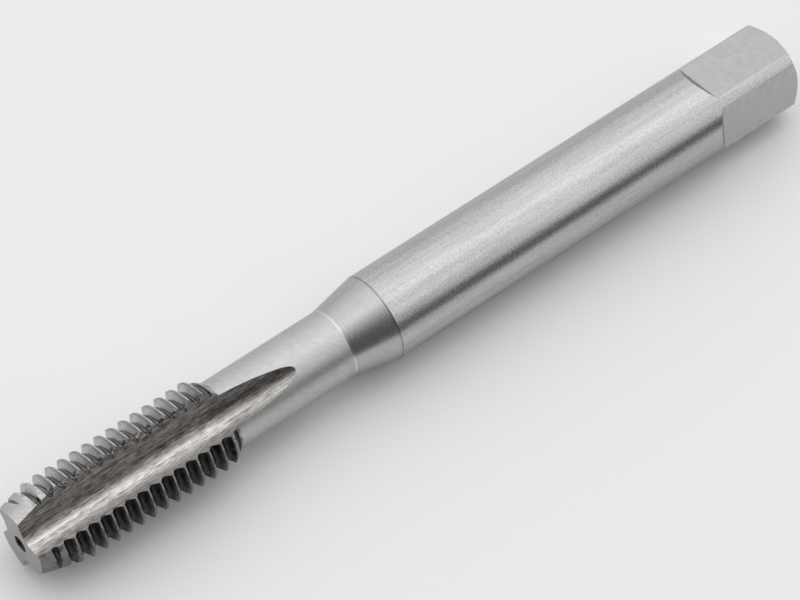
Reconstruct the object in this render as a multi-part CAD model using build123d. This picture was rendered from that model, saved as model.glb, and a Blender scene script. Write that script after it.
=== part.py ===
from build123d import *
import os
from math import cos, radians, sin, tan

# Machine tap for M10 x 1.5, ground from one bar of high-speed steel.
# It is modelled standing on its tip with its axis along +Z and the first flute's
# centre line along +X, and is then laid on its side as it comes to rest.

# ---- overall form -------------------------------------------------------
overall_length = 100.0
shank_diameter = 10.0
neck_diameter = 7.9
neck_end = 39.4                # tip to the start of the cone below the shank
cone_angle = 11.0              # half angle of that cone
neck_fillet = 0.6

# ---- thread -------------------------------------------------------------
thread_length = 24.8           # tip to where the bevel behind the thread meets the neck
thread_diameter = 10.16        # over the crests
pitch = 1.5
thread_half_angle = 30.0
crest_flat = 0.19
root_flat = 0.27
first_crest = 0.80             # its height on the first flute's centre line
back_bevel_angle = 35.0        # half angle of the bevel behind the last thread

# ---- lead chamfer -------------------------------------------------------
# Ground off centre on each land, so it falls away behind the cutting edge.
tip_diameter = 7.76            # at the middle of a land
lead_half_angle = 15.0
lead_relief = 0.43             # how far the grinding axis is set off

# ---- flutes -------------------------------------------------------------
# A formed wheel runs along the axis and then rises out over the neck. Its form
# has a hooked wall on the cutting side and a sloping one on the heel side.
flute_count = 3
core_diameter = 4.5
flute_shift = 0.3              # of the deepest line, towards the cutting side
rake_radius = 2.15
rake_wall_angle = 22.5         # from the flute's centre line
heel_radius = 1.6
heel_wall_angle = 51.0         # from the flute's centre line
flute_full_depth = 21.3        # tip to where the wheel begins to rise
wheel_radius = 42.0
wheel_sweep = 60.0             # as much of the wheel as is sure to clear the neck

# ---- driving square -----------------------------------------------------
square_across_flats = 7.9
square_length = 10.6           # of full depth
square_run_out_angle = 45.0    # slope of the flats' inner ends, from the axis
square_turn = 9.4              # first corner, past the first flute's centre line
end_chamfer_rise = 0.6
end_chamfer_width = 1.05

# ---- centre holes -------------------------------------------------------
tip_centre_diameter = 2.0
tip_pilot_diameter = 0.8
tip_pilot_depth = 2.4
drive_centre_diameter = 3.2
drive_pilot_diameter = 1.6
drive_pilot_depth = 4.0
centre_half_angle = 30.0
drill_point_half_angle = 59.0

# ---- how it lies --------------------------------------------------------
first_flute_lean = 20.0        # from straight up, towards -Y

overrun = 1.0                  # how far a cutting tool passes the work
crest_overrun = 0.05           # how far the thread's groove passes the crests
gap_sweep = 110.0              # turn of each land's groove, from flute to flute

thread_radius = thread_diameter / 2
thread_depth = (pitch - crest_flat - root_flat) / 2 / tan(radians(thread_half_angle))
root_radius = thread_radius - thread_depth
neck_radius = neck_diameter / 2
shank_radius = shank_diameter / 2
core_radius = core_diameter / 2
flute_step = 360 / flute_count


def turned_blank():
    """The bar after turning: thread barrel, bevel, neck, cone, shank, end chamfer."""
    bevel = (thread_radius - neck_radius) / tan(radians(back_bevel_angle))
    cone_end = neck_end + (shank_radius - neck_radius) / tan(radians(cone_angle))
    outline = Polyline(
        (0, 0),
        (thread_radius, 0),
        (thread_radius, thread_length - bevel),
        (neck_radius, thread_length),
        (neck_radius, neck_end),
        (shank_radius, cone_end),
        (shank_radius, overall_length - end_chamfer_rise),
        (shank_radius - end_chamfer_width, overall_length),
        (0, overall_length),
        close=True,
    )
    section = make_face(Plane.XZ * outline)
    corner = section.vertices().sort_by_distance((neck_radius, 0, neck_end))[0]
    return revolve(fillet(corner, neck_fillet), Axis.Z)


def lead_chamfer_waste():
    """What the wheel takes off the first threads, one sector for each land."""
    slope = tan(radians(lead_half_angle))
    height = (thread_radius + lead_relief) / slope
    small_end = tip_diameter / 2 - overrun * slope
    cone = Cone(
        small_end,
        small_end + height * slope,
        height,
        align=(Align.CENTER, Align.CENTER, Align.MIN),
    )
    reach = 2 * thread_radius
    half_step = radians(flute_step / 2)
    edge = (reach * cos(half_step), reach * sin(half_step))
    sector = Polyline(
        (0, 0), (edge[0], -edge[1]), (reach, -edge[1]), (reach, edge[1]), edge, close=True
    )
    sector = Pos(0, 0, -overrun) * extrude(make_face(sector), height)
    waste = sector - Pos(0, -lead_relief, -overrun) * cone
    return [Rot(0, 0, flute_step * (land + 0.5)) * waste for land in range(flute_count)]


def flute_waste():
    """What the wheel clears: straight along the thread, then the round of its rim."""
    reach = thread_radius + 2 * overrun
    rake = radians(rake_wall_angle)
    heel = radians(heel_wall_angle)
    bottom = (core_radius, flute_shift)
    rake_end = (
        core_radius + rake_radius * (1 - sin(rake)),
        flute_shift + rake_radius * cos(rake),
    )
    heel_end = (
        core_radius + heel_radius * (1 - sin(heel)),
        flute_shift - heel_radius * cos(heel),
    )
    rake_top = (reach, rake_end[1] + (reach - rake_end[0]) * tan(rake))
    heel_top = (reach, heel_end[1] - (reach - heel_end[0]) * tan(heel))
    form = make_face(
        Curve() + [
            TangentArc(bottom, rake_end, tangent=(0, 1)),
            Line(rake_end, rake_top),
            Line(rake_top, heel_top),
            Line(heel_top, heel_end),
            TangentArc(bottom, heel_end, tangent=(0, -1)),
        ]
    )
    straight = Pos(0, 0, -overrun) * extrude(form, flute_full_depth + overrun)
    axle = Axis((core_radius + wheel_radius, 0, flute_full_depth), (0, 1, 0))
    run_out = revolve(Pos(0, 0, flute_full_depth) * form, axle, wheel_sweep)
    return [
        Rot(0, 0, flute_step * turn) * part
        for turn in range(flute_count)
        for part in (straight, run_out)
    ]


def thread_gap():
    """The V groove across one land, between four helices, from flute to flute."""
    flank = tan(radians(thread_half_angle))
    outer_radius = thread_radius + crest_overrun
    outer_half = (pitch - crest_flat) / 2 + crest_overrun * flank
    root_half = outer_half - (outer_radius - root_radius) * flank
    corners = (
        (root_radius, -root_half),
        (root_radius, root_half),
        (outer_radius, outer_half),
        (outer_radius, -outer_half),
    )
    rise = pitch * gap_sweep / 360
    edges = [Helix(pitch, rise, radius, center=(0, 0, shift)) for radius, shift in corners]
    sides = [
        Face.make_surface_from_curves(edge, after)
        for edge, after in zip(edges, edges[1:] + edges[:1])
    ]
    ends = [Face(Wire.make_polygon([edge @ place for edge in edges])) for place in (0, 1)]
    return Solid(Shell(sides + ends))


def thread_waste():
    """All the gaps of the thread: one helix, in a length for each land it crosses."""
    gap = thread_gap()
    lowest = first_crest - 1.5 * pitch
    steps = int((thread_length + pitch - lowest) / pitch * flute_count)
    starts = [flute_step * step + (flute_step - gap_sweep) / 2 for step in range(steps)]
    return [Pos(0, 0, lowest + pitch * turn / 360) * Rot(0, 0, turn) * gap for turn in starts]


def square_waste():
    """Four slots ground off to leave the driving square, each sloping out at its end."""
    flat = square_across_flats / 2
    reach = shank_radius + overrun
    shoulder = overall_length - square_length
    slope = (reach - flat) / tan(radians(square_run_out_angle))
    outline = Polyline(
        (flat, shoulder),
        (reach, shoulder - slope),
        (reach, overall_length + overrun),
        (flat, overall_length + overrun),
        close=True,
    )
    slot = extrude(make_face(Plane.XZ * outline), reach, both=True)
    return [Rot(0, 0, square_turn + 45 + 90 * side) * slot for side in range(4)]


def centre_hole(mouth_diameter, pilot_diameter, pilot_depth):
    """A 60 degree centre hole with its pilot, mouth at z = 0, going up."""
    mouth = mouth_diameter / 2
    pilot = pilot_diameter / 2
    widen = tan(radians(centre_half_angle))
    outline = Polyline(
        (0, -overrun),
        (mouth + overrun * widen, -overrun),
        (pilot, (mouth - pilot) / widen),
        (pilot, pilot_depth),
        (0, pilot_depth + pilot / tan(radians(drill_point_half_angle))),
        close=True,
    )
    return revolve(make_face(Plane.XZ * outline), Axis.Z)


tap = turned_blank()
tap -= lead_chamfer_waste()
tap -= flute_waste()
tap -= thread_waste()
tap -= square_waste()
tap -= centre_hole(tip_centre_diameter, tip_pilot_diameter, tip_pilot_depth)
drive_centre = centre_hole(drive_centre_diameter, drive_pilot_diameter, drive_pilot_depth)
tap -= Pos(0, 0, overall_length) * Rot(180, 0, 0) * drive_centre

# Laid down: +Z turns into +X, and the tap is rolled until it lies on one land.
# The lands stand a little proud of the shank, so their lowest crests are on the
# bench. The origin is on the bench, half way along.
lying = Rot(180 + first_flute_lean, 0, 0) * Rot(0, 90, 0)
axis_height = max(thread_radius, shank_radius)
tap = Pos(-overall_length / 2, 0, axis_height) * lying * tap
print("solids", len(tap.solids()), "volume", round(tap.volume, 1), "mm3")

os.makedirs("parts", exist_ok=True)
export_step(tap, "parts/thread_tap.step")
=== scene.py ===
from collections import namedtuple
from math import atan2, cos, pi, radians, sin, sqrt
from math import floor as floor_of

import bmesh
import bpy
from mathutils import Matrix, Vector


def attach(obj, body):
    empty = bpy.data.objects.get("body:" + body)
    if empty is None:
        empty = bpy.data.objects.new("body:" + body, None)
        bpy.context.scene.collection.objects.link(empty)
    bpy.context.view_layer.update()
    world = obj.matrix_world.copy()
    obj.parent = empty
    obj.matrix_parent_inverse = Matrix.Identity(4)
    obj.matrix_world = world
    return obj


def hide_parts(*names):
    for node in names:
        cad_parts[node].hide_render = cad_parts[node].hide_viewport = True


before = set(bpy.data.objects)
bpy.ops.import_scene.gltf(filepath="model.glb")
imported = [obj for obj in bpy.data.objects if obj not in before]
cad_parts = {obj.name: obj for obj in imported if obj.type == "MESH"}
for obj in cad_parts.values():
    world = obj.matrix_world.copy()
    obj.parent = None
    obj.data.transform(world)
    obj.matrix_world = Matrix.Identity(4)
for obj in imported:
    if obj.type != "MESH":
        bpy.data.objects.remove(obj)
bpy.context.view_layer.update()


# ---- Camera --------------------------------------------------------------
# A long lens looks down on the tap from the cutting end, and near enough for
# the shank end to be drawn a little smaller than the tip.
axis_height = 0.00508
tip = Vector((-0.050, 0.0, axis_height))
facing = radians(113.25)
swing = radians(20.89)
picture_turn = radians(32.56)
lens_distance = 0.39610
aim_along = 0.048272
aim_across = 0.00013148
along = Vector((1.0, 0.0, 0.0))
towards = Vector((0.0, cos(facing), sin(facing)))
across = along.cross(towards)
look = sin(swing) * along - cos(swing) * towards
drift = cos(swing) * along + sin(swing) * towards
right = cos(picture_turn) * drift + sin(picture_turn) * across
up = sin(picture_turn) * drift - cos(picture_turn) * across
place = tip + aim_along * along - lens_distance * look - aim_across * across
bpy.ops.object.select_all(action="DESELECT")
bpy.ops.object.camera_add()
camera = bpy.context.object
camera.name = "camera"
camera.data.sensor_width = 36.0
camera.data.lens = 170.77
camera.data.clip_start = 0.01
camera.data.clip_end = 20.0
turn = Matrix((right, up, -look)).transposed().to_4x4()
camera.matrix_world = Matrix.Translation(place) @ turn
bpy.context.scene.camera = camera
bpy.context.scene.view_settings.view_transform = "Standard"


# ---- Studio --------------------------------------------------------------
# A pale sheet for a floor, under the light of a long soft box that hangs over
# the tap and in line with it, with a dark gap between the box and the horizon.
class Value:
    """A socket of a node tree. Sums and products of values add their Math nodes."""

    def __init__(self, tree, socket=None):
        self.tree = tree
        self.socket = socket

    def node(self, kind, settings=None, inputs=None, output=0):
        made = self.tree.nodes.new(kind)
        for name, setting in (settings or {}).items():
            if name == "stops":
                ramp = made.color_ramp
                while len(ramp.elements) < len(setting):
                    ramp.elements.new(0.5)
                for element, (position, colour) in zip(ramp.elements, setting):
                    element.position = position
                    element.color = (*colour, 1.0)
            else:
                setattr(made, name, setting)
        for name, value in (inputs or {}).items():
            if isinstance(value, Value):
                self.tree.links.new(value.socket, made.inputs[name])
            else:
                made.inputs[name].default_value = value
        return Value(self.tree, made.outputs[output])

    def output(self, name):
        return Value(self.tree, self.socket.node.outputs[name])

    def into(self, shader, name):
        self.tree.links.new(self.socket, shader.inputs[name])

    def maths(self, operation, *values):
        return self.node("ShaderNodeMath", {"operation": operation}, dict(enumerate(values)))

    def __add__(self, other):
        return self.maths("ADD", self, other)

    def __radd__(self, other):
        return self.maths("ADD", other, self)

    def __sub__(self, other):
        return self.maths("SUBTRACT", self, other)

    def __rsub__(self, other):
        return self.maths("SUBTRACT", other, self)

    def __mul__(self, other):
        return self.maths("MULTIPLY", self, other)

    def __rmul__(self, other):
        return self.maths("MULTIPLY", other, self)

    def __truediv__(self, other):
        return self.maths("DIVIDE", self, other)

    def rise(self, start, end):
        """0 at start, 1 at end, and smooth between them."""
        ends = {"Value": self, "From Min": start, "From Max": end}
        return self.node("ShaderNodeMapRange", {"interpolation_type": "SMOOTHSTEP"}, ends)

    def blend(self, first, second):
        """The first colour where the value is 0, the second where it is 1."""
        colours = {0: self, 6: first, 7: second}
        return self.node("ShaderNodeMix", {"data_type": "RGBA"}, colours, output=2)


bpy.ops.mesh.primitive_circle_add(vertices=96, radius=3.0, fill_type="NGON")
floor = bpy.context.object
floor.name = "floor"
paper = bpy.data.materials.new("floor_paper")
paper.use_nodes = True
paper_shader = paper.node_tree.nodes["Principled BSDF"]
sheet = Value(paper.node_tree).node("ShaderNodeTexCoord", None, None, "Object")
sheet = sheet.node("ShaderNodeVectorMath", {"operation": "LENGTH"}, {"Vector": sheet}, "Value")
near_white, far_white = (0.93, 0.93, 0.93, 1.0), (0.60, 0.60, 0.60, 1.0)
sheet = sheet.rise(0.08, 0.60).blend(near_white, far_white)
sheet.into(paper_shader, "Base Color")
paper_shader.inputs["Roughness"].default_value = 0.9
paper_shader.inputs["Specular IOR Level"].default_value = 0.1
floor.data.materials.append(paper)

studio = bpy.data.worlds.new("studio")
studio.use_nodes = True
bpy.context.scene.world = studio
sky = Value(studio.node_tree).node("ShaderNodeTexCoord")
sky = sky.node("ShaderNodeSeparateXYZ", None, {"Vector": sky})
arc = sky.maths("ARCTAN2", sky.output("Z"), sky.output("Y")) / pi
levels = [
    (0.00, 0.80),
    (0.08, 0.95),
    (0.18, 1.05),
    (0.25, 1.25),
    (0.34, 1.27),
    (0.42, 1.49),
    (0.505, 1.60),
    (0.545, 1.29),
    (0.63, 1.24),
    (0.80, 1.05),
    (1.00, 0.90),
]
stops = [(position, (level, level, level)) for position, level in levels]
soft_box = arc.node("ShaderNodeValToRGB", {"stops": stops}, {"Fac": arc})
edge_place, edge_slope = 0.634, 0.59
edge_width, edge_narrowing = 0.125, 0.252
end_on = sky.maths("MINIMUM", sky.maths("MAXIMUM", sky.output("X"), -0.25), 0.40)
beyond = (arc - end_on * edge_slope - edge_place) / (edge_width - end_on * edge_narrowing)
soft_box = beyond.rise(-1.0, 1.0).blend(soft_box, (0.13, 0.13, 0.13, 1.0))
end_wall = sky.maths("ABSOLUTE", sky.output("X")).rise(0.70, 0.92)
light = end_wall.blend(soft_box, (0.50, 0.50, 0.50, 1.0))
light.into(studio.node_tree.nodes["Background"], "Color")


# ---- Tap -----------------------------------------------------------------
# One bar of high-speed steel, turned, fluted and then ground all over. Its form
# comes from the CAD solid, and each ground face gets a finish of its own below.
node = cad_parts["thread_tap"]
tap = bpy.data.objects.new("tap", node.data.copy())
bpy.context.scene.collection.objects.link(tap)
bpy.ops.object.select_all(action="DESELECT")
tap.select_set(True)
bpy.context.view_layer.objects.active = tap
bpy.ops.object.mode_set(mode="EDIT")
bpy.ops.mesh.select_all(action="SELECT")
bpy.ops.mesh.remove_doubles(threshold=1e-6)
bpy.ops.object.mode_set(mode="OBJECT")
bpy.ops.object.shade_smooth()
tap.data.materials.clear()
skin = bmesh.new()
skin.from_mesh(tap.data)

Place = namedtuple("Place", "along out lengthways upright")


def place_of(face):
    """Where a face is, in mm along the tap and out from its axis, and how it faces."""
    middle = face.calc_center_median()
    spoke = Vector((0.0, middle.y, middle.z - axis_height)) * 1000
    upright = face.normal.dot(spoke) / spoke.length
    return Place(middle.x * 1000 + 50, spoke.length, face.normal.x, upright)


def dress(name, test):
    """Gives a new steel finish to the faces that pass the test, and its coordinates."""
    finish = bpy.data.materials.new(name)
    finish.use_nodes = True
    tap.data.materials.append(finish)
    number = len(tap.data.materials) - 1
    for face in skin.faces:
        if test(place_of(face)):
            face.material_index = number
    shader = finish.node_tree.nodes["Principled BSDF"]
    shader.inputs["Metallic"].default_value = 1.0
    shader.inputs["Specular Tint"].default_value = (0.8, 0.8, 0.8, 1.0)
    spot = Value(finish.node_tree).node("ShaderNodeTexCoord", None, None, "Object")
    millimetres = {"Vector": spot, "Location": (50, 0, -5.08), "Scale": (1000, 1000, 1000)}
    return shader, spot.node("ShaderNodeMapping", None, millimetres)


def split(spot):
    """The x, y and z of a place, each a value."""
    parts = spot.node("ShaderNodeSeparateXYZ", None, {"Vector": spot})
    return parts.output("X"), parts.output("Y"), parts.output("Z")


def join(x, y, z):
    """A place from three values, the first of which isn't a plain number."""
    return x.node("ShaderNodeCombineXYZ", None, {"X": x, "Y": y, "Z": z})


def noise(vector, scale, detail=2.0, roughness=0.5):
    """A cloudy pattern, 0 to 1, of that many lumps in a millimetre."""
    inputs = {"Vector": vector, "Scale": scale, "Detail": detail, "Roughness": roughness}
    return vector.node("ShaderNodeTexNoise", None, inputs)


def stretched(spot, lengthways, around, skew=0.0):
    """Place on the tap's skin, along it and round it in mm, each times a factor."""
    x, y, z = split(spot)
    round_it = x.maths("ARCTAN2", y, z) * 5.0
    return join(x * lengthways + round_it * skew, round_it * around, 0.0)


def relief(shader, height, depth):
    """Raises the skin by the height pattern, depth in mm at its highest."""
    inputs = {"Strength": 1.0, "Distance": depth / 1000, "Height": height}
    height.node("ShaderNodeBump", None, inputs).into(shader, "Normal")


flute_lean = radians(20)
flute_step = radians(120)


def round_tap(y, z):
    """The angle round the axis, from the middle of a land, and never less than 0."""
    return y.maths("ARCTAN2", y, z) + (flute_lean + flute_step / 2 + 2 * pi)


def from_flute(angle):
    """The angle from the middle of the nearest flute, less than 0 on the cutting side."""
    return angle.maths("MODULO", angle, flute_step) - flute_step / 2


# ---- Shank ---------------------------------------------------------------
# Ground between wheels without centres, which leaves a bright, grainy skin of
# short marks that run round the bar.
shader, spot = dress("shank_steel", lambda face: True)
grain = noise(spot, 6.0, 3.0, 0.75)
marks = noise(stretched(spot, 9.0, 1.6, 0.4), 1.0, 3.0, 0.6)
streaks = noise(stretched(spot, 0.08, 1.4), 1.0, 3.0, 0.6)
bright = (grain * 0.7 + streaks * 0.3).rise(0.34, 0.66)
bright.blend((0.37, 0.368, 0.369, 1), (0.57, 0.567, 0.562, 1)).into(shader, "Base Color")
(0.18 + 0.14 * grain).into(shader, "Roughness")
relief(shader, grain * 0.6 + marks * 0.4, 0.012)


# ---- Neck ----------------------------------------------------------------
# Turned, then rubbed with emery, so its skin is finer and duller than the
# shank's, over faint rings from the tool's feed.
shader, spot = dress(
    "neck_steel",
    lambda face: 24.0 < face.along < 39.6
    and face.upright > 0.985
    and face.out > 3.9
    and abs(face.lengthways) < 0.15,
)
neck_feed = 0.26
clouds = noise(spot, 1.2, 3.0, 0.6)
hatch = noise(stretched(spot, 4.0, 0.8, 3.0), 1.0, 3.0, 0.7)
x = split(spot)[0]
rings = x.maths("SINE", x * (2 * pi / neck_feed))
bright = (clouds * 0.35 + hatch * 0.65 + rings * 0.05).rise(0.35, 0.65)
bright.blend((0.47, 0.465, 0.465, 1), (0.56, 0.555, 0.55, 1)).into(shader, "Base Color")
(0.36 + 0.10 * clouds).into(shader, "Roughness")
relief(shader, hatch * 0.6 + clouds * 0.3 + rings * 0.04, 0.008)


# ---- Cone ----------------------------------------------------------------
# Left as turned, with fine rings from the tool's feed. A painted highlight draws a
# bright line at its foot, and painted shade a dark line where it meets the shank.
shader, spot = dress(
    "cone_steel",
    lambda face: 39.0 < face.along < 44.9 and -0.3 < face.lengthways < -0.03,
)
cone_feed = 0.22
x = split(spot)[0]
rings = x.maths("SINE", x * (2 * pi / cone_feed))
wobble = noise(stretched(spot, 5.0, 1.0), 1.0, 3.0, 0.65)
turned_skin = 0.5 + 0.22 * rings + 0.9 * (wobble - 0.5)
turned_skin = turned_skin.rise(0.0, 1.0).blend((0.38, 0.38, 0.385, 1), (0.53, 0.528, 0.53, 1))
# Painted highlight: a bright line along the foot of the cone.
painted_foot_highlight = x.rise(39.60, 39.50) * x.rise(39.20, 39.30)
painted_foot_highlight = (painted_foot_highlight * 0.6).blend(turned_skin, (0.72, 0.71, 0.71, 1))
# Painted shade: a dark line where the cone meets the shank.
painted_crease_shade = x.rise(44.55, 44.72)
painted_crease_shade.blend(painted_foot_highlight, (0.26, 0.26, 0.26, 1)).into(shader, "Base Color")
(0.22 + 0.08 * wobble).into(shader, "Roughness")
relief(shader, rings * 0.2 + wobble * 0.5, 0.005)


# ---- Flutes --------------------------------------------------------------
# Ground along their length by a formed wheel, which leaves long scratches that
# follow its rim up over the neck. The heel side is darker and browner than the
# cutting side.
shader, spot = dress(
    "flute_steel",
    lambda face: face.along < 33.6
    and abs(face.lengthways) < 0.4
    and (face.upright < 0.978 or face.out < 3.7),
)
full_depth = 21.3
axle_height = 44.25
x, y, z = split(spot)
angle = round_tap(y, z)
turned = from_flute(angle)
radius = x.maths("SQRT", y * y + z * z)
side = x.maths("SINE", turned) * radius
reach = axle_height - x.maths("COSINE", turned) * radius
past = x.maths("MAXIMUM", x - full_depth, 0.0)
reach = x.maths("SQRT", past * past + reach * reach)
flute = x.maths("FLOOR", angle / flute_step) * 20.0
scratches = noise(join(x * 0.15 + flute, side * 5.0, reach * 5.0), 1.0, 5.0, 0.75)
dashes = noise(join(x * 0.9 + flute, side * 11.0, reach * 11.0), 1.0, 2.0, 0.7)
clouds = noise(spot, 0.8, 4.0, 0.65)
rub = scratches * 0.4 + dashes * 0.45 + clouds * 0.15
heel = (side + (scratches - 0.5) * 1.2 + (dashes - 0.5) * 0.8).rise(-0.70, -0.10)
worn = rub.rise(0.38, 0.60).blend((0.23, 0.215, 0.20, 1), (0.70, 0.685, 0.67, 1))
heel_darker_skin = rub.rise(0.40, 0.62).blend((0.085, 0.075, 0.07, 1), (0.43, 0.41, 0.395, 1))
lip = side.rise(-1.3, -2.1)
polished = lip * (0.08 + 0.52 * rub.rise(0.44, 0.56))
polished = polished.blend(heel.blend(worn, heel_darker_skin), (0.86, 0.845, 0.83, 1))
# Painted shade: the run-out, where the flute rises out of the bar, is darkened.
painted_run_out_shade = x.rise(22.5, 25.5) * 0.22
painted_run_out_shade.blend(polished, (0.0, 0.0, 0.0, 1)).into(shader, "Base Color")
(0.18 + 0.16 * clouds + 0.12 * dashes + 0.22 * lip).into(shader, "Roughness")
relief(shader, scratches * 0.5 + dashes * 0.5, 0.03)


# ---- Thread --------------------------------------------------------------
# Ground by a ribbed wheel. Painted shade darkens the land towards -Y, the roots
# and, a little, the crests; the flute's wheel has left torn burrs at the heels.
shader, spot = dress(
    "thread_steel",
    lambda face: face.along < 24.9
    and face.out > 4.1
    and (abs(face.lengthways) > 0.6 or face.upright > 0.978),
)
x, y, z = split(spot)
radius = x.maths("SQRT", y * y + z * z)
marks = noise(stretched(spot, 8.0, 0.8), 1.0, 3.0, 0.6)
# Painted shade: darker on the side towards -Y.
painted_side_shade = y.rise(-1.5, -3.0)
turned = from_flute(round_tap(y, z))
heel_edge = turned.rise(0.0, 0.1) * turned.rise(radians(46), radians(37))
torn = noise(stretched(spot, 7.0, 1.0, 5.0), 1.0, 2.0, 0.6)
burr = heel_edge * radius.rise(4.95, 4.75) * torn.rise(0.46, 0.52)
clean = marks.rise(0.3, 0.7).blend((0.48, 0.475, 0.47, 1), (0.60, 0.595, 0.59, 1))
# Painted shade down in the roots of the grooves.
painted_root_shade = radius.rise(4.40, 4.22) * 0.75
painted_shade = x.maths("MAXIMUM", painted_side_shade * (0.5 + 0.44 * radius.rise(5.06, 4.6)), painted_root_shade)
# Painted shade that dims the crests.
painted_crest_shade = radius.rise(5.0, 5.05) * 0.35
dark = x.maths("MAXIMUM", x.maths("MAXIMUM", painted_shade, burr * 0.92), painted_crest_shade)
dark.blend(clean, (0.02, 0.019, 0.018, 1)).into(shader, "Base Color")
(0.30 + 0.14 * marks).into(shader, "Roughness")
relief(shader, marks * 0.2 + torn * heel_edge * 0.8, 0.04)


# ---- Lead chamfer --------------------------------------------------------
# Ground last, with the tap off centre, to let the cutting edges of the first
# threads stand proud. It is the brightest skin, with fine lines across each land.
shader, spot = dress(
    "chamfer_steel",
    lambda face: face.along < 6.0
    and -0.35 < face.lengthways < -0.15
    and face.upright > 0.9
    and face.out > 3.6,
)
# Painted shade: the land towards -Y is made far darker.
painted_side_shade = split(spot)[1].rise(-1.5, -3.0)
lines = noise(stretched(spot, 7.0, 0.5, 5.0), 1.0, 4.0, 0.75)
ground = lines.rise(0.35, 0.65).blend((0.42, 0.415, 0.41, 1), (0.56, 0.555, 0.55, 1))
painted_shade_skin = lines.rise(0.35, 0.65).blend((0.13, 0.13, 0.13, 1), (0.25, 0.25, 0.25, 1))
painted_side_shade.blend(ground, painted_shade_skin).into(shader, "Base Color")
(0.24 + 0.10 * lines).into(shader, "Roughness")
relief(shader, lines, 0.008)


# ---- Square --------------------------------------------------------------
# Four flats that a wrench or chuck drives the tap by. They are ground across,
# with faint arcs from the face of a cup wheel.
shader, spot = dress(
    "square_steel",
    lambda face: face.along > 88.2
    and abs(face.lengthways) < 0.05
    and face.out * face.upright < 3.97,
)
x, y, z = split(spot)
arcs = noise(join(x * 5.0 + y * y * 0.6, y * 0.8, z * 0.8), 1.0, 3.0, 0.6)
clouds = noise(spot, 1.1, 4.0, 0.6)
bright = (arcs * 0.5 + clouds * 0.5).rise(0.35, 0.65)
bright.blend((0.43, 0.427, 0.435, 1), (0.49, 0.488, 0.495, 1)).into(shader, "Base Color")
(0.30 + 0.08 * clouds).into(shader, "Roughness")
relief(shader, clouds * 0.4 + arcs * 0.6, 0.004)


# ---- End faces -----------------------------------------------------------
# Faced off in the lathe, with the centre holes that the tap was ground on. Painted
# shade makes the holes near black inside.
shader, spot = dress(
    "end_steel",
    lambda face: face.along < 0.01
    or face.along > 99.3
    or (face.along < 3.0 and face.out < 1.05)
    or (face.along > 95 and face.out < 1.7),
)
x = split(spot)[0]
clouds = noise(spot, 2.5, 3.0, 0.6)
faced = clouds.rise(0.3, 0.7).blend((0.40, 0.395, 0.39, 1), (0.48, 0.475, 0.47, 1))
# Painted shade inside the centre holes.
painted_hole_shade = x.maths("MINIMUM", x, 100 - x).rise(0.0, 0.10)
painted_hole_shade.blend(faced, (0.035, 0.033, 0.03, 1)).into(shader, "Base Color")
(0.30 + 0.10 * clouds).into(shader, "Roughness")
relief(shader, clouds, 0.004)


# ---- Edges ---------------------------------------------------------------
# Where two ground faces meet, the edge is left crisp, and the round parts are
# shaded as true cylinders and cones.
names = [material.name for material in tap.data.materials]
crisp = {("shank_steel", "cone_steel"), ("thread_steel", "chamfer_steel")}
for edge in skin.edges:
    numbers = sorted(face.material_index for face in edge.link_faces)
    pair = tuple(names[number] for number in numbers)
    edge.smooth = pair not in crisp and edge.calc_face_angle(pi) < radians(25)
skin.to_mesh(tap.data)
skin.free()

# The form of the flute's section, in mm and from the flute's centre line.
flute_shift = 0.3
rake_radius, rake_wall = 2.15, radians(22.5)
heel_radius, heel_wall = 1.60, radians(51)
cone_angle = radians(11)


def true_normal(name, corner, flute_at):
    """How the ground surface, not its flat facet, faces at a corner of the mesh."""
    x = corner.x * 1000 + 50
    y, z = corner.y * 1000, (corner.z - axis_height) * 1000
    if name == "flute_steel":
        outward = Vector((0.0, sin(flute_at), cos(flute_at)))
        cutting = Vector((0.0, -cos(flute_at), sin(flute_at)))
        spoke = Vector((0.0, y, z))
        aside = spoke.dot(cutting) - flute_shift
        radius, wall = (rake_radius, rake_wall) if aside > 0 else (heel_radius, heel_wall)
        lean = min(abs(aside) / radius, cos(wall))
        rim = outward * (axle_height - spoke.dot(outward))
        rim += Vector((full_depth - max(x, full_depth), 0.0, 0.0))
        return rim.normalized() * sqrt(1 - lean**2) - cutting * (lean if aside > 0 else -lean)
    slope = cone_angle if name == "cone_steel" else 0.0
    return Vector((0.0, y, z)).normalized() * cos(slope) - along * sin(slope)


# A corner left at zero keeps the normal that Blender works out.
widest_turn = radians(9)
shading = [(0.0, 0.0, 0.0)] * len(tap.data.loops)
for face in tap.data.polygons:
    name = names[face.material_index]
    flute_at = atan2(face.center.y, face.center.z - axis_height)
    flute_at = floor_of((flute_at + flute_lean + flute_step / 2) / flute_step)
    flute_at = flute_step * flute_at - flute_lean
    for loop, corner in zip(face.loop_indices, face.vertices):
        if name == "square_steel" or abs(face.normal.x) > 0.999:
            shading[loop] = face.normal
        elif name in ("shank_steel", "neck_steel", "cone_steel", "flute_steel"):
            normal = true_normal(name, tap.data.vertices[corner].co, flute_at)
            if normal.dot(face.normal) > cos(widest_turn):
                shading[loop] = normal
tap.data.normals_split_custom_set(shading)
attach(tap, "root")
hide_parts("thread_tap")
